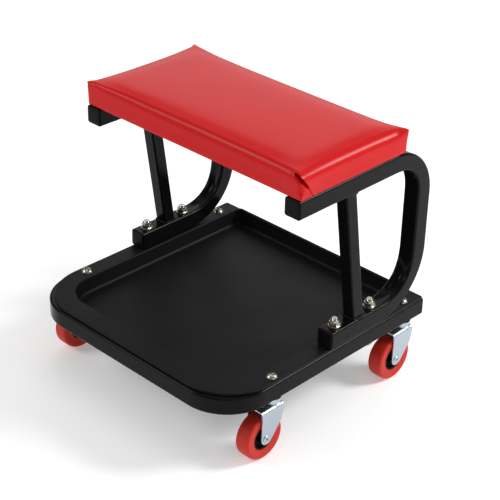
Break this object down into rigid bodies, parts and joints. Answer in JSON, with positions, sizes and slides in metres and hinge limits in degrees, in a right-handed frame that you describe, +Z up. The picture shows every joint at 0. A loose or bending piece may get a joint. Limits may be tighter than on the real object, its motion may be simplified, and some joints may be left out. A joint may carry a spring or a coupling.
{
  "type": "rolling creeper seat",
  "caption": "Low rolling workshop seat: padded bench on bent-tube side frames over a U-shaped tube base that holds a tool tray and stands on swivel casters.",
  "frame": {"origin": "on the floor, under the middle of the base", "axes": "+X to the right-hand side along the seat's length, +Y to the rear where the base is open, +Z up"},
  "size_m": [0.3852, 0.38, 0.3869],
  "materials": {
    "tube_powder_coat": "gloss powder coat",
    "tray_plastic": "fine satin",
    "cap_plastic": "satin",
    "plywood": "raw",
    "foam": "open cell",
    "vinyl": "fine grained, semi-gloss",
    "staple_steel": "galvanised",
    "zinc_fastener": "zinc plated",
    "zinc_fork": "bright zinc plated",
    "ball_steel": "polished",
    "hub_plastic": "satin",
    "tyre_urethane": "semi-matte"
  },
  "bodies": {
    "frame": {"base_frame": "tube_powder_coat", "base_end_caps": "cap_plastic", "tool_tray": "tray_plastic", "left_side_frame": "tube_powder_coat", "right_side_frame": "tube_powder_coat", "left_post": "tube_powder_coat", "right_post": "tube_powder_coat", "rail_end_caps": "cap_plastic", "foot_end_caps": "cap_plastic", "seat_board": "plywood", "seat_foam": "foam", "seat_cover": "vinyl", "seat_staples": "staple_steel", "seat_screws": "zinc_fastener", "seat_tee_nuts": "zinc_fastener", "frame_bolts": "zinc_fastener", "frame_washers": "zinc_fastener", "frame_nuts": "zinc_fastener", "caster_bolts": "zinc_fastener", "caster_nuts": "zinc_fastener", "caster_balls": "ball_steel", "front_left_race": "zinc_fork", "front_left_kingpin": "zinc_fork", "front_right_race": "zinc_fork", "front_right_kingpin": "zinc_fork", "rear_left_race": "zinc_fork", "rear_left_kingpin": "zinc_fork", "rear_right_race": "zinc_fork", "rear_right_kingpin": "zinc_fork"},
    "front_left_swivel": {"front_left_fork": "zinc_fork", "front_left_axle": "zinc_fastener", "front_left_sleeve": "zinc_fastener"},
    "front_left_wheel": {"front_left_hub": "hub_plastic", "front_left_tyre": "tyre_urethane"},
    "front_right_swivel": {"front_right_fork": "zinc_fork", "front_right_axle": "zinc_fastener", "front_right_sleeve": "zinc_fastener"},
    "front_right_wheel": {"front_right_hub": "hub_plastic", "front_right_tyre": "tyre_urethane"},
    "rear_left_swivel": {"rear_left_fork": "zinc_fork", "rear_left_axle": "zinc_fastener", "rear_left_sleeve": "zinc_fastener"},
    "rear_left_wheel": {"rear_left_hub": "hub_plastic", "rear_left_tyre": "tyre_urethane"},
    "rear_right_swivel": {"rear_right_fork": "zinc_fork", "rear_right_axle": "zinc_fastener", "rear_right_sleeve": "zinc_fastener"},
    "rear_right_wheel": {"rear_right_hub": "hub_plastic", "rear_right_tyre": "tyre_urethane"}
  },
  "joints": [
    {"name": "front_left_swivel", "type": "hinge", "parent": "frame", "child": "front_left_swivel", "pos_m": [-0.1775, -0.098, 0.082], "axis": [0, 0, 1], "continuous": true},
    {"name": "front_left_roll", "type": "hinge", "parent": "front_left_swivel", "child": "front_left_wheel", "pos_m": [-0.1775, -0.1195, 0.03175], "axis": [1, 0, 0], "continuous": true},
    {"name": "front_right_swivel", "type": "hinge", "parent": "frame", "child": "front_right_swivel", "pos_m": [0.1775, -0.098, 0.082], "axis": [0, 0, 1], "continuous": true},
    {"name": "front_right_roll", "type": "hinge", "parent": "front_right_swivel", "child": "front_right_wheel", "pos_m": [0.1775, -0.1195, 0.03175], "axis": [1, 0, 0], "continuous": true},
    {"name": "rear_left_swivel", "type": "hinge", "parent": "frame", "child": "rear_left_swivel", "pos_m": [-0.1775, 0.158, 0.082], "axis": [0, 0, 1], "continuous": true},
    {"name": "rear_left_roll", "type": "hinge", "parent": "rear_left_swivel", "child": "rear_left_wheel", "pos_m": [-0.1775, 0.1365, 0.03175], "axis": [1, 0, 0], "continuous": true},
    {"name": "rear_right_swivel", "type": "hinge", "parent": "frame", "child": "rear_right_swivel", "pos_m": [0.1775, 0.158, 0.082], "axis": [0, 0, 1], "continuous": true},
    {"name": "rear_right_roll", "type": "hinge", "parent": "rear_right_swivel", "child": "rear_right_wheel", "pos_m": [0.1775, 0.1365, 0.03175], "axis": [1, 0, 0], "continuous": true}
  ]
}
